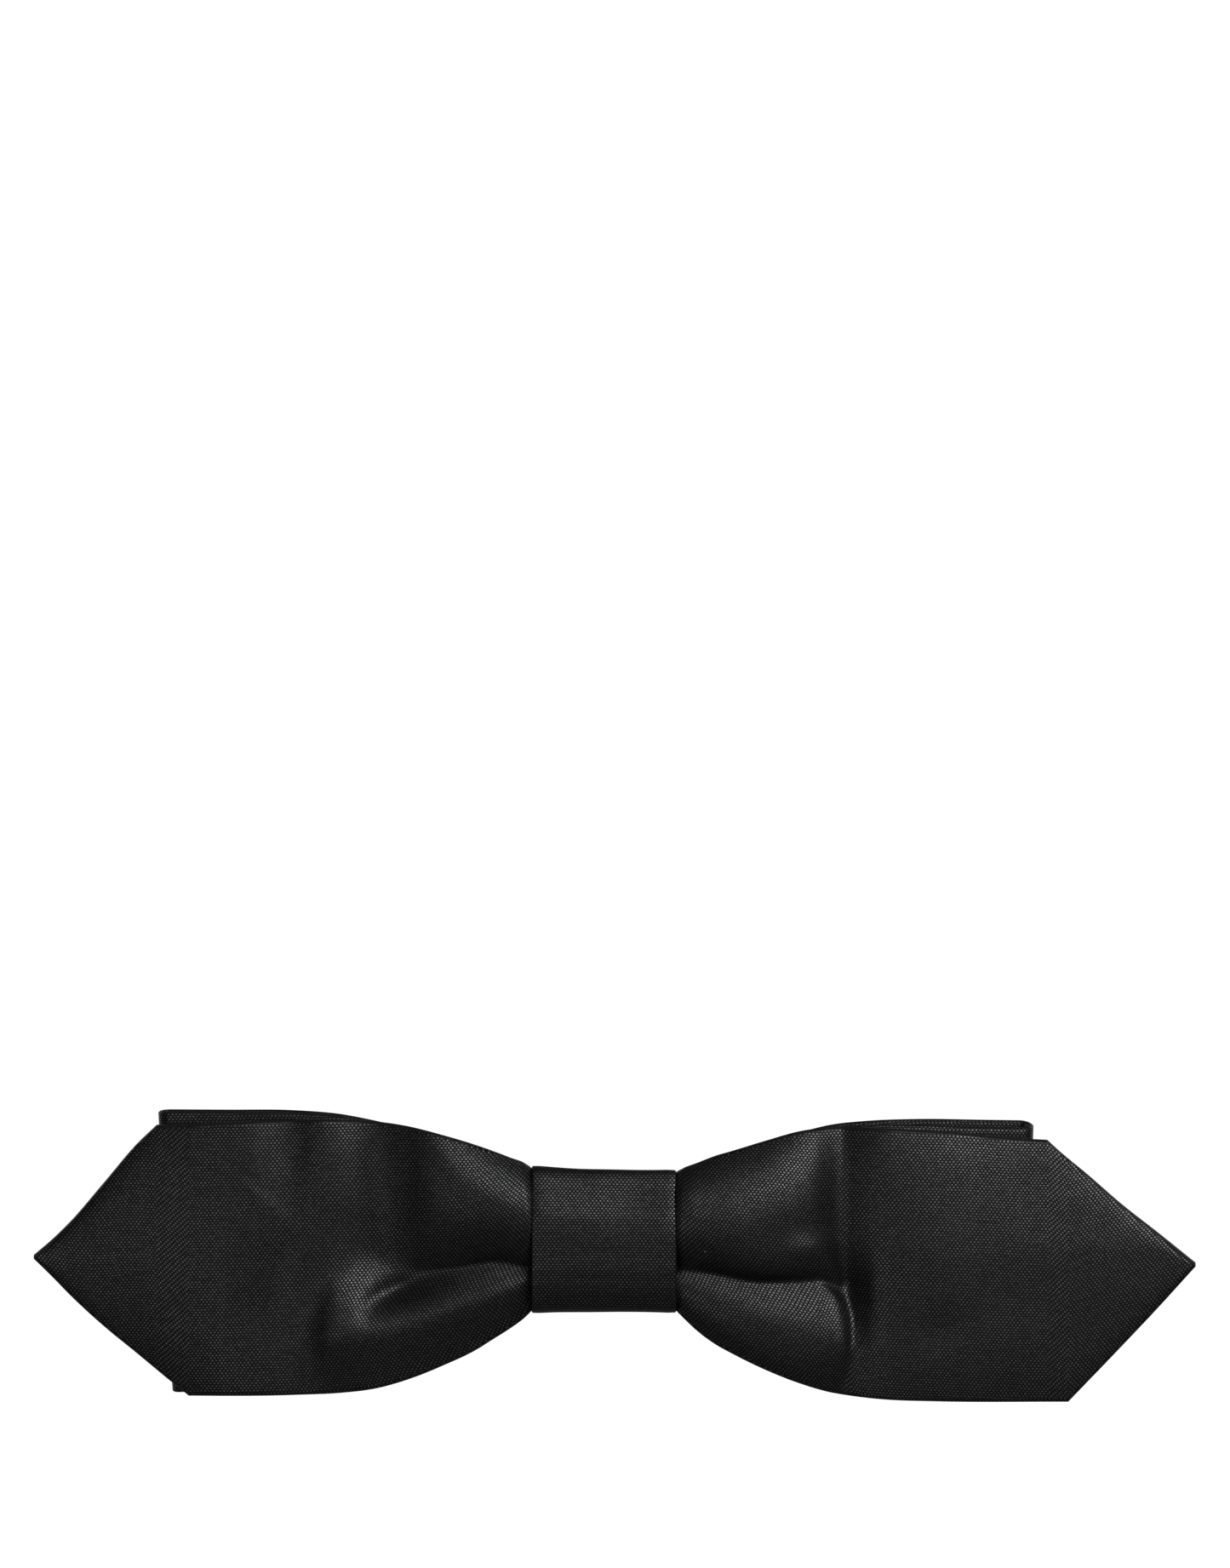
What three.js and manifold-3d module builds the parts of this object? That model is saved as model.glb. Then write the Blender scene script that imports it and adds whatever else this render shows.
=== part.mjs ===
// A ready-tied bow tie with pointed ends, held to a collar by a sprung clip behind its knot.
//
// Millimetres, +Z up. +X runs along the bow, and the front of the bow faces -Y.
// The origin is the middle of the clip plate's gripping face: the cloth lies in front of it, at
// negative Y, and the jaws stand behind it, at positive Y.
//
// From front to back the bow is a pointed blade (two cloths round an interlining), then a loop of
// lined cloth folded flat at both ends. A thread gathers both in the middle, and a lined wrap goes
// round the gather and round the waist of the clip plate.

import * as THREE from "three";
import { mergeVertices } from "three/addons/utils/BufferGeometryUtils.js";
import Module from "manifold-3d";

const wasm = await Module();
wasm.setup();

// ---------------------------------------------------------------- driving dimensions

// Cloth, as it lies in one ply.
const clothThick = 0.4;
const liningThick = 0.5;
const plyGap = 0.15; // air between two plies of one tube
const layerGap = 0.3; // air between two things that lie on each other

// Knot, measured outside the wrap.
const knotWidth = 16.3;
const knotHeight = 15.8;
const knotCorner = 3.6; // how far each corner of the wrap is rounded
const wrapLiningThick = 0.35;

// Each wing of the blade: the point, and the two corners where its slanting ends begin.
const bladeLeft = { tip: 63.8, tipZ: -1.9, topX: 50.1, topZ: 13.1, bottomX: 46.5, bottomZ: -17.4 };
const bladeRight = { tip: 66.2, tipZ: -2.7, topX: 49.7, topZ: 11.6, bottomX: 52.0, bottomZ: -18.1 };
const tipHeight = 0.9; // the points are turned through, so they are a little blunt

// Each wing of the loop: its folded end at the top and bottom edge, and those edges.
const loopLeft = { topX: 49.6, bottomX: 48.2, topZ: 14.6, bottomZ: -17.0 };
const loopRight = { topX: 48.2, bottomX: 47.4, topZ: 13.4, bottomZ: -17.4 };

const gatherReach = 25; // from the knot's edge to where a wing has its full height
const gatherEase = 3; // how soon the edges flare as they leave the knot

// Pleat in the middle of the blade.
const pleatDepth = 2.0;
const pleatHalfWidth = 2.4;
const pleatZ = -2.2;
const wingPuff = 1.5; // how far a wing swells forwards beside the knot
const puffAt = 13; // distance of that swelling from the knot's edge
const puffReach = 10;

// The blade's edges roll back where they enter the knot.
const rollDepth = 0.6;

// Loop, seen from above: half the distance between its two plies.
const loopHalfAtKnot = 0.85;
const loopHalfAtWing = 2.2;
const loopHalfAtEnd = 1.0;

// Gathering thread and the stitches that close the wrap.
const threadRadius = 0.2;
const threadTurns = 4;
const threadPitch = 0.8;
const threadCorner = 1.2; // radius it takes round each corner of the gather
const gatherSlack = 0.8; // room over and under the cloth inside the thread
const stitchRadius = 0.16;
const stitchCount = 7;
const stitchLength = 1.6;

// Clip.
const plateThick = 0.8;
const plateLength = 48;
const plateHeight = 8.4;
const plateCorner = 2.4;
const waistClearance = 0.7; // between the wrap and each shoulder of the plate
const waistHeight = 6.4;
const jawShare = 0.6; // of the plate's length beside the knot, how much lies under the jaw's reach
const lipInset = 0.18; // from the lip to the end of the plate
const tabClearance = 1.15; // between a press tab and the wrap
const pinY = 2.0;
const pinRadius = 0.6;
const pinClearance = 0.1;
const pinHeadRadius = 1.0;
const pinHeadThick = 0.45;
const pinEndPlay = 0.2;
const earThick = 0.7;
const earWidth = 4.4;
const jawThick = 0.7;
const jawSidePlay = 0.45; // between a jaw's cheek and the ear beside it
const cheekRadius = 1.5;
const jawLift = 1.95; // from the pin's axis up to the middle of the jaw's sheet
const lipDrop = 1.3; // how far the sheet comes down between the pin and the lip
const biteGap = 0.3; // between the teeth and the plate
const tabRise = 1.5;
const toothCount = 5;
const toothDepth = 0.7;
const wireRadius = 0.22;
const coilClearance = 0.25; // between the coil and the pin
const coilTurns = 5;
const coilPitch = 0.7;
const legShare = 0.77; // of the press tab's length

// ---------------------------------------------------------------- places worked out from them

const knotHalf = knotWidth / 2;
const wrapThick = clothThick + plyGap + wrapLiningThick;
const bladeThick = 2 * clothThick + 2 * plyGap + liningThick;
const threadRoom = 2 * threadRadius + layerGap;

const plateFrontY = -plateThick;
const loopRearY = plateFrontY - threadRoom - layerGap / 2; // outer face at the knot
const loopBackY = loopRearY - clothThick / 2; // middle of its rear ply
const loopFrontY = loopBackY - 2 * loopHalfAtWing - clothThick / 2; // outer face in the wings
const bladeBackY = loopFrontY - layerGap;
const bladeFrontY = bladeBackY - bladeThick;
const wrapFrontY = bladeFrontY - threadRoom - wrapThick;
const wrapRearY = layerGap / 2 + wrapThick;
const gatherHalf = knotHeight / 2 - wrapThick - threadRoom - gatherSlack; // half height of the blade in the knot
const loopGatherHalf = gatherHalf - 0.9;

const jawReach = jawShare * (plateLength / 2 - knotHalf - tabClearance); // pin's axis to toothed lip
const pinX = plateLength / 2 - jawReach - lipInset;
const tabReach = pinX - knotHalf - tabClearance; // pin's axis to the end of the press tab
const legLength = legShare * tabReach;
const earInnerZ = plateHeight / 2 - earThick;
const jawHalf = earInnerZ - jawSidePlay;
const pinHalf = plateHeight / 2 + pinEndPlay + pinHeadThick;
const holeRadius = pinRadius + pinClearance;
const coilRadius = pinRadius + coilClearance + wireRadius;

// ---------------------------------------------------------------- materials

const cloth = () => new THREE.MeshStandardMaterial({ color: 0x17181a, roughness: 0.75, metalness: 0 });
const interlining = () => new THREE.MeshStandardMaterial({ color: 0xbdb6a8, roughness: 0.95, metalness: 0 });
const thread = () => new THREE.MeshStandardMaterial({ color: 0x101012, roughness: 0.6, metalness: 0 });
const nickel = () => new THREE.MeshStandardMaterial({ color: 0xb9bbbd, roughness: 0.3, metalness: 1 });
const springSteel = () => new THREE.MeshStandardMaterial({ color: 0x8d9094, roughness: 0.35, metalness: 1 });

// ---------------------------------------------------------------- small tools

const clamp01 = (v) => Math.min(1, Math.max(0, v));
const lerp = (a, b, t) => a + (b - a) * t;
const smooth = (v) => clamp01(v) ** 2 * (3 - 2 * clamp01(v));

function named(name, geometry, material) {
  const mesh = new THREE.Mesh(geometry, material);
  mesh.name = name;
  return mesh;
}

function solidOf(geometry) {
  const bare = geometry.index ? geometry.toNonIndexed() : geometry.clone();
  bare.deleteAttribute("normal");
  bare.deleteAttribute("uv");
  const merged = mergeVertices(bare, 1e-4);
  return new wasm.Manifold(new wasm.Mesh({
    numProp: 3,
    vertProperties: merged.attributes.position.array,
    triVerts: new Uint32Array(merged.index.array),
  }));
}

function geometryOf(solid) {
  const mesh = solid.getMesh();
  return new THREE.BufferGeometry()
    .setAttribute("position", new THREE.BufferAttribute(new Float32Array(mesh.vertProperties), 3))
    .setIndex(new THREE.BufferAttribute(new Uint32Array(mesh.triVerts), 1));
}

const extrude = (shape, depth, curveSegments = 8) =>
  new THREE.ExtrudeGeometry(shape, { depth, bevelEnabled: false, curveSegments });

// A round wire along a curve.
function wire(curve, radius, steps, sides = 8) {
  const section = new THREE.Shape();
  for (let i = 0; i < sides; i++) {
    const a = (i / sides) * 2 * Math.PI;
    section[i ? "lineTo" : "moveTo"](radius * Math.cos(a), radius * Math.sin(a));
  }
  return new THREE.ExtrudeGeometry(section, { steps, extrudePath: curve, bevelEnabled: false });
}

// A closed solid from rings of points: every ring has as many points, and ring i joins ring i + 1.
// With loop set the last ring joins the first; otherwise both end rings are filled as fans.
function skin(rings, loop) {
  const count = rings[0].length;
  const index = [];
  const joins = loop ? rings.length : rings.length - 1;
  for (let i = 0; i < joins; i++) {
    const next = (i + 1) % rings.length;
    for (let k = 0; k < count; k++) {
      const a = i * count + k;
      const b = i * count + ((k + 1) % count);
      const c = next * count + k;
      const d = next * count + ((k + 1) % count);
      // The far half of a ring runs the other way, so it takes the other diagonal and plies nest.
      if (k < count / 2) index.push(a, c, b, b, c, d);
      else index.push(a, c, d, a, d, b);
    }
  }
  if (!loop) {
    const last = (rings.length - 1) * count;
    for (let k = 1; k < count / 2; k++) {
      const [p, q, r, s] = [k - 1, k, count - k, count - 1 - k];
      index.push(p, q, r, q, s, r);
      index.push(last + p, last + r, last + q, last + q, last + r, last + s);
    }
  }
  return new THREE.BufferGeometry()
    .setAttribute("position", new THREE.Float32BufferAttribute(rings.flat(2), 3))
    .setIndex(index);
}

// ---------------------------------------------------------------- cloth

// Height of an edge at a distance from the knot: it leaves the knot at atKnot and flares to atWing.
function flare(away, atKnot, atWing) {
  const u = clamp01((away - knotHalf) / gatherReach);
  return lerp(atKnot, atWing, 1 - (1 - u) ** gatherEase);
}

// One edge of the blade. Past the corner it slants to the point.
function bladeEdge(x, corner, atWing, wing, side) {
  const away = Math.abs(x);
  const atTip = wing.tipZ + (side * tipHeight) / 2;
  if (away <= corner) return flare(away, side * gatherHalf, atWing);
  return lerp(atWing, atTip, clamp01((away - corner) / (wing.tip - corner)));
}
const bladeWing = (x) => (x < 0 ? bladeLeft : bladeRight);
const bladeTop = (x) => bladeEdge(x, bladeWing(x).topX, bladeWing(x).topZ, bladeWing(x), 1);
const bladeBottom = (x) => bladeEdge(x, bladeWing(x).bottomX, bladeWing(x).bottomZ, bladeWing(x), -1);

// The rear face of the blade: flat in the wings, swollen beside the knot and pleated at the knot.
function bladeY(x, z) {
  const away = Math.abs(x) - knotHalf;
  const across = (2 * z - bladeTop(x) - bladeBottom(x)) / (bladeTop(x) - bladeBottom(x));
  const puff = wingPuff * Math.exp(-(((away - puffAt) / puffReach) ** 2)) * (1 - across ** 2);
  const pleat = pleatDepth * (1 - smooth(away / (gatherReach * 0.8)));
  const roll = rollDepth * across ** 4 * (1 - smooth(away / 6));
  return bladeBackY - puff * smooth(away / 4) + roll + pleat * Math.exp(-(((z - pleatZ) / pleatHalfWidth) ** 2));
}

// Stations along the blade: both points, the four corners and even steps between.
function bladeStations() {
  const half = (wing) => {
    const [near, far] = [wing.topX, wing.bottomX].sort((a, b) => a - b);
    const out = [wing.tip, lerp(far, wing.tip, 0.5), far, near];
    const steps = 11;
    for (let i = 1; i < steps; i++) out.push(near * (1 - i / steps));
    return out;
  };
  return [...half(bladeLeft).map((x) => -x), 0, ...half(bladeRight).reverse()];
}

// One ply of the blade, between two distances in front of its rear face.
function bladePly(from, to) {
  const rows = 9;
  const rings = bladeStations().map((x) => {
    const zs = Array.from({ length: rows }, (_, k) => lerp(bladeBottom(x), bladeTop(x), k / (rows - 1)));
    const front = zs.map((z) => [x, bladeY(x, z) - to, z]);
    const rear = zs.map((z) => [x, bladeY(x, z) - from, z]).reverse();
    return [...front, ...rear];
  });
  return skin(rings, false);
}

const loopWing = (x) => (x < 0 ? loopLeft : loopRight);
const loopTop = (x) => flare(Math.abs(x), loopGatherHalf, loopWing(x).topZ);
const loopBottom = (x) => flare(Math.abs(x), -loopGatherHalf, loopWing(x).bottomZ);

// Half the distance between the loop's plies: pinched at the knot, open in the wing, flat at the end.
function loopHalf(away, end) {
  if (away < knotHalf) return loopHalfAtKnot;
  const open = lerp(loopHalfAtKnot, loopHalfAtWing, smooth((away - knotHalf) / (gatherReach / 2)));
  return lerp(open, loopHalfAtEnd, smooth((away - end / 2) / (end / 2)));
}

// The loop's middle line seen from above, once round, as points with their outward normals.
function loopPath() {
  const points = [];
  const steps = 12;
  const turn = 6;
  const side = (wing, sign) => {
    const end = (wing.topX + wing.bottomX) / 2 - clothThick / 2;
    const last = end - loopHalfAtEnd;
    const walk = (ply) => Array.from({ length: steps }, (_, i) => {
      const away = (last * i) / steps;
      const half = loopHalf(away, end);
      return { away, x: sign * away, y: loopBackY - (1 - ply) * half, n: [0, ply] };
    });
    const fold = Array.from({ length: turn + 1 }, (_, i) => {
      const a = (i / turn) * Math.PI;
      const n = [sign * Math.sin(a), -Math.cos(a)];
      return { away: end, x: sign * last + n[0] * loopHalfAtEnd, y: loopBackY + (n[1] - 1) * loopHalfAtEnd, n };
    });
    return [...walk(-1), ...fold, ...walk(1).reverse()];
  };
  points.push(...side(loopRight, 1));
  points.push(...side(loopLeft, -1).reverse().slice(1, -1));
  return points;
}

// One ply of the loop, between two distances inwards from its outer face.
function loopPly(from, to) {
  const rings = loopPath().map(({ x, y, n, away }) => {
    const wing = loopWing(x);
    const lean = (wing.topX - wing.bottomX) / 2;
    const sign = x < 0 ? -1 : 1;
    const slant = away > 30 ? sign * lean * smooth((away - 30) / 18) : 0;
    const at = (inwards, top) => {
      const out = clothThick / 2 - inwards;
      const z = top ? loopTop(x) : loopBottom(x);
      return [x + n[0] * out + (top ? slant : -slant), y + n[1] * out, z];
    };
    return [at(from, false), at(from, true), at(to, true), at(to, false)];
  });
  return skin(rings, true);
}

// The wrap's section seen from the end of the bow: a rounded rectangle, in from its outer face.
function wrapOutline(inwards, Kind = THREE.Shape) {
  const [y0, y1] = [wrapFrontY + inwards, wrapRearY - inwards];
  const [z0, z1] = [-knotHeight / 2 + inwards, knotHeight / 2 - inwards];
  const r = knotCorner - inwards;
  const outline = new Kind();
  outline.moveTo(y0 + r, z0);
  outline.lineTo(y1 - r, z0);
  outline.absarc(y1 - r, z0 + r, r, -Math.PI / 2, 0, false);
  outline.lineTo(y1, z1 - r);
  outline.absarc(y1 - r, z1 - r, r, 0, Math.PI / 2, false);
  outline.lineTo(y0 + r, z1);
  outline.absarc(y0 + r, z1 - r, r, Math.PI / 2, Math.PI, false);
  outline.lineTo(y0, z0 + r);
  outline.absarc(y0 + r, z0 + r, r, Math.PI, 1.5 * Math.PI, false);
  return outline;
}

// A band of the wrap, extruded along the bow. The section is drawn in Y and Z.
function wrapBand(name, from, to, width, material) {
  const section = wrapOutline(from);
  section.holes.push(wrapOutline(to, THREE.Path));
  const geometry = extrude(section, width, 6);
  geometry.applyMatrix4(new THREE.Matrix4().set(0, 0, 1, -width / 2, 1, 0, 0, 0, 0, 1, 0, 0, 0, 0, 0, 1));
  return named(name, geometry, material);
}

// Thread wound round the gathered cloth, under the wrap.
class Winding extends THREE.Curve {
  constructor() {
    super();
    const [halfY, halfZ] = [(loopRearY - bladeFrontY) / 2, gatherHalf].map((v) => v + layerGap / 2 + threadRadius);
    const [a, b] = [halfY - threadCorner, halfZ - threadCorner];
    this.round = new THREE.Path();
    this.round.moveTo(halfY, 0);
    this.round.absarc(a, b, threadCorner, 0, Math.PI / 2, false);
    this.round.absarc(-a, b, threadCorner, Math.PI / 2, Math.PI, false);
    this.round.absarc(-a, -b, threadCorner, Math.PI, 1.5 * Math.PI, false);
    this.round.absarc(a, -b, threadCorner, 1.5 * Math.PI, 2 * Math.PI, false);
    this.round.closePath();
  }
  getPoint(t, target = new THREE.Vector3()) {
    const at = this.round.getPointAt((t * threadTurns) % 1);
    return target.set((t - 0.5) * threadTurns * threadPitch, (loopRearY + bladeFrontY) / 2 + at.x, at.y);
  }
}

// Slip stitches that close the wrap's lap, in a zigzag over the back of the knot.
function stitches() {
  const inset = 1.2;
  const y = wrapRearY + stitchRadius + 0.02;
  const points = Array.from({ length: stitchCount * 2 }, (_, i) => {
    const x = lerp(-knotHalf + inset, knotHalf - inset, i / (stitchCount * 2 - 1));
    return new THREE.Vector3(x, y, ((i % 2 ? 1 : -1) * stitchLength) / 2);
  });
  return wire(new THREE.CatmullRomCurve3(points, false, "catmullrom", 0.2), stitchRadius, stitchCount * 6, 6);
}

function bow() {
  const group = new THREE.Group();
  const facing = clothThick + plyGap + liningThick + plyGap;
  group.add(named("blade_front_cloth", bladePly(facing, facing + clothThick), cloth()));
  group.add(named("blade_interlining", bladePly(clothThick + plyGap, clothThick + plyGap + liningThick), interlining()));
  group.add(named("blade_back_cloth", bladePly(0, clothThick), cloth()));
  group.add(named("loop_cloth", loopPly(0, clothThick), cloth()));
  group.add(named("loop_interlining", loopPly(clothThick + plyGap, clothThick + plyGap + wrapLiningThick), interlining()));
  group.add(wrapBand("wrap_cloth", 0, clothThick, knotWidth, cloth()));
  group.add(wrapBand("wrap_interlining", clothThick + plyGap, wrapThick, knotWidth - 1, interlining()));
  group.add(named("gather_thread", wire(new Winding(), threadRadius, threadTurns * 30, 6), thread()));
  group.add(named("wrap_stitches", stitches(), thread()));
  return group;
}

// ---------------------------------------------------------------- clip

// The plate's outline: a strip with round corners and a waist for the wrap.
function plateOutline() {
  const [l, h, r] = [plateLength / 2, plateHeight / 2, plateCorner];
  const waist = [knotHalf + waistClearance, waistHeight / 2];
  const s = new THREE.Shape();
  s.moveTo(-l + r, -h);
  s.lineTo(-waist[0], -h);
  s.lineTo(-waist[0], -waist[1]);
  s.lineTo(waist[0], -waist[1]);
  s.lineTo(waist[0], -h);
  s.lineTo(l - r, -h);
  s.absarc(l - r, -h + r, r, -Math.PI / 2, 0, false);
  s.absarc(l - r, h - r, r, 0, Math.PI / 2, false);
  s.lineTo(waist[0], h);
  s.lineTo(waist[0], waist[1]);
  s.lineTo(-waist[0], waist[1]);
  s.lineTo(-waist[0], h);
  s.lineTo(-l + r, h);
  s.absarc(-l + r, h - r, r, Math.PI / 2, Math.PI, false);
  s.absarc(-l + r, -h + r, r, Math.PI, 1.5 * Math.PI, false);
  return s;
}

// An ear in X and Y: it stands up from the plate's front face and is round over the pin.
function earOutline(x) {
  const r = earWidth / 2;
  const s = new THREE.Shape();
  s.moveTo(x - r, plateFrontY);
  s.lineTo(x + r, plateFrontY);
  s.lineTo(x + r, pinY);
  s.absarc(x, pinY, r, 0, Math.PI, false);
  s.lineTo(x - r, plateFrontY);
  return s;
}

const pinBore = (x) =>
  solidOf(new THREE.CylinderGeometry(holeRadius, holeRadius, 2 * plateHeight, 24)
    .rotateX(Math.PI / 2)
    .translate(x, pinY, 0));

function clipPlate() {
  // Drawn in X and Z, then stood up so that its thickness runs from the front face back to Y 0.
  let plate = solidOf(extrude(plateOutline(), plateThick).rotateX(Math.PI / 2).translate(0, 0, 0));
  for (const x of [-pinX, pinX]) {
    for (const z of [-plateHeight / 2, earInnerZ]) {
      plate = plate.add(solidOf(extrude(earOutline(x), earThick, 10).translate(0, 0, z)));
    }
    plate = plate.subtract(pinBore(x));
  }
  return geometryOf(plate);
}

// The jaw's sheet seen from above, with the pin's axis at the origin: tab, back and toothed lip.
function jawLine() {
  const lipY = biteGap - pinY;
  return [
    [-tabReach, jawLift + tabRise],
    [-tabReach * 0.45, jawLift + tabRise * 0.45],
    [0, jawLift],
    [jawReach * 0.45, jawLift - lipDrop * 0.45],
    [jawReach - jawThick, jawLift - lipDrop],
    [jawReach, lipY],
  ].map(([x, y]) => new THREE.Vector2(x, y));
}

// A strip of even thickness along a line of points.
function strip(line, thick) {
  const offset = (i, sign) => {
    const before = line[Math.max(i - 1, 0)];
    const after = line[Math.min(i + 1, line.length - 1)];
    const along = after.clone().sub(before).normalize();
    return line[i].clone().add(new THREE.Vector2(-along.y, along.x).multiplyScalar((sign * thick) / 2));
  };
  const up = line.map((_, i) => offset(i, 1));
  const down = line.map((_, i) => offset(i, -1)).reverse();
  return new THREE.Shape([...up, ...down].reverse());
}

function cheekOutline() {
  const s = new THREE.Shape();
  s.moveTo(-cheekRadius * 1.3, jawLift + tabRise * 0.3);
  s.lineTo(-cheekRadius, 0);
  s.absarc(0, 0, cheekRadius, Math.PI, 2 * Math.PI, false);
  s.lineTo(cheekRadius * 1.9, jawLift - lipDrop * 0.2);
  return s;
}

// One jaw, with the pin's axis at its origin and its lip towards +X.
function jawGeometry() {
  let jaw = solidOf(extrude(strip(jawLine(), jawThick), 2 * jawHalf).translate(0, 0, -jawHalf));
  for (const z of [-jawHalf, jawHalf - jawThick]) {
    jaw = jaw.add(solidOf(extrude(cheekOutline(), jawThick, 10).translate(0, 0, z)));
  }
  jaw = jaw.subtract(pinBore(0).translate(0, -pinY, 0));
  const pitch = (2 * jawHalf) / toothCount;
  const notch = new THREE.Shape([[-pitch / 2, -0.4], [pitch / 2, -0.4], [0, toothDepth]].map((p) => new THREE.Vector2(...p)));
  for (let i = 0; i <= toothCount; i++) {
    const cut = extrude(notch, 4 * jawThick)
      .rotateY(Math.PI / 2)
      .translate(jawReach - 2 * jawThick, biteGap - pinY, -jawHalf + i * pitch);
    jaw = jaw.subtract(solidOf(cut));
  }
  return geometryOf(jaw);
}

// A pin with a head at each end, turned about its own axis and laid along Z.
function pinGeometry() {
  const inner = pinHalf - pinHeadThick;
  const profile = [
    [0, -pinHalf],
    [pinHeadRadius * 0.8, -pinHalf],
    [pinHeadRadius, -pinHalf + pinHeadThick * 0.4],
    [pinHeadRadius, -inner],
    [pinRadius, -inner],
    [pinRadius, inner],
    [pinHeadRadius, inner],
    [pinHeadRadius, pinHalf - pinHeadThick * 0.4],
    [pinHeadRadius * 0.8, pinHalf],
    [0, pinHalf],
  ].map(([r, h]) => new THREE.Vector2(r, h));
  return new THREE.LatheGeometry(profile, 24).rotateX(Math.PI / 2);
}

// The spring: a coil round the pin, one leg on the plate and one leg under the press tab.
function springGeometry() {
  const points = [];
  const perTurn = 10;
  const height = coilTurns * coilPitch;
  const legY = wireRadius + 0.12 - pinY;
  const start = Math.PI * 1.5;
  const swing = coilTurns * 2 * Math.PI - Math.PI * 0.9;
  const steps = coilTurns * perTurn;
  points.push(new THREE.Vector3(-legLength, legY, -height / 2));
  points.push(new THREE.Vector3(-legLength / 2, legY, -height / 2));
  for (let i = 0; i <= steps; i++) {
    const a = start + (swing * i) / steps;
    points.push(new THREE.Vector3(coilRadius * Math.cos(a), coilRadius * Math.sin(a), height * (i / steps - 0.5)));
  }
  const under = jawLift + tabRise * (legLength / tabReach) - jawThick / 2 - wireRadius - layerGap - 0.1;
  points.push(new THREE.Vector3(-legLength / 2, lerp(jawLift * 0.75, under, 0.6), height / 2));
  points.push(new THREE.Vector3(-legLength, under, height / 2));
  const curve = new THREE.CatmullRomCurve3(points, false, "centripetal");
  return wire(curve, wireRadius, points.length + 6, 6);
}

// One side of the clip. Both sides are the same three pieces; the left one is turned half round.
function clipSide(side) {
  const group = new THREE.Group();
  const atPin = (mesh) => {
    mesh.position.set(pinX, pinY, 0);
    group.add(mesh);
  };
  atPin(named(`${side}_jaw`, jawGeometry(), nickel()));
  atPin(named(`${side}_hinge_pin`, pinGeometry(), nickel()));
  atPin(named(`${side}_jaw_spring`, springGeometry(), springSteel()));
  return group;
}

function clip() {
  const group = new THREE.Group();
  group.add(named("clip_plate", clipPlate(), nickel()));
  group.add(clipSide("right"));
  const left = clipSide("left");
  left.rotation.y = Math.PI;
  group.add(left);
  return group;
}

const bowTie = new THREE.Group();
bowTie.add(bow(), clip());

export default bowTie;
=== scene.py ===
import math

import bpy
import numpy as np
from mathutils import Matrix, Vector


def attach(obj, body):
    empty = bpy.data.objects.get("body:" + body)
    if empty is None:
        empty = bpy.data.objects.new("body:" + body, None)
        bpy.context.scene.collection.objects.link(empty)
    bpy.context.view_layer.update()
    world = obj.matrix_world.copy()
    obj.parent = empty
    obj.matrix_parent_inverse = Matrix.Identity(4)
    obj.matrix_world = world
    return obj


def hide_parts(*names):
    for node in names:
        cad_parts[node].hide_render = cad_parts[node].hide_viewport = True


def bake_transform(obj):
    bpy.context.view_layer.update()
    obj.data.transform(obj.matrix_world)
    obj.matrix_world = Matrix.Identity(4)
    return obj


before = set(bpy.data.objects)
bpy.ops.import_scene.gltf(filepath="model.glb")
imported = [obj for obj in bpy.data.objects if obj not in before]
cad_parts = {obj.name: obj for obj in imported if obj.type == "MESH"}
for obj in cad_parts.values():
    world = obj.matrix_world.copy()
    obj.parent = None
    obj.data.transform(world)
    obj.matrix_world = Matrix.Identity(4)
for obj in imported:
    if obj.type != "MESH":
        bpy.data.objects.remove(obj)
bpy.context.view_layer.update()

# ------------------------------------------------------------------------------------------
# The blade: the front cloth of the bow, pointed at both ends. Two plies of black silk are sewn
# round an interlining and turned through, so every edge is a soft fold. It is pleated where it
# goes into the knot: an upper and a lower roll with one deep tuck between them. All sizes in mm.

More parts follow.
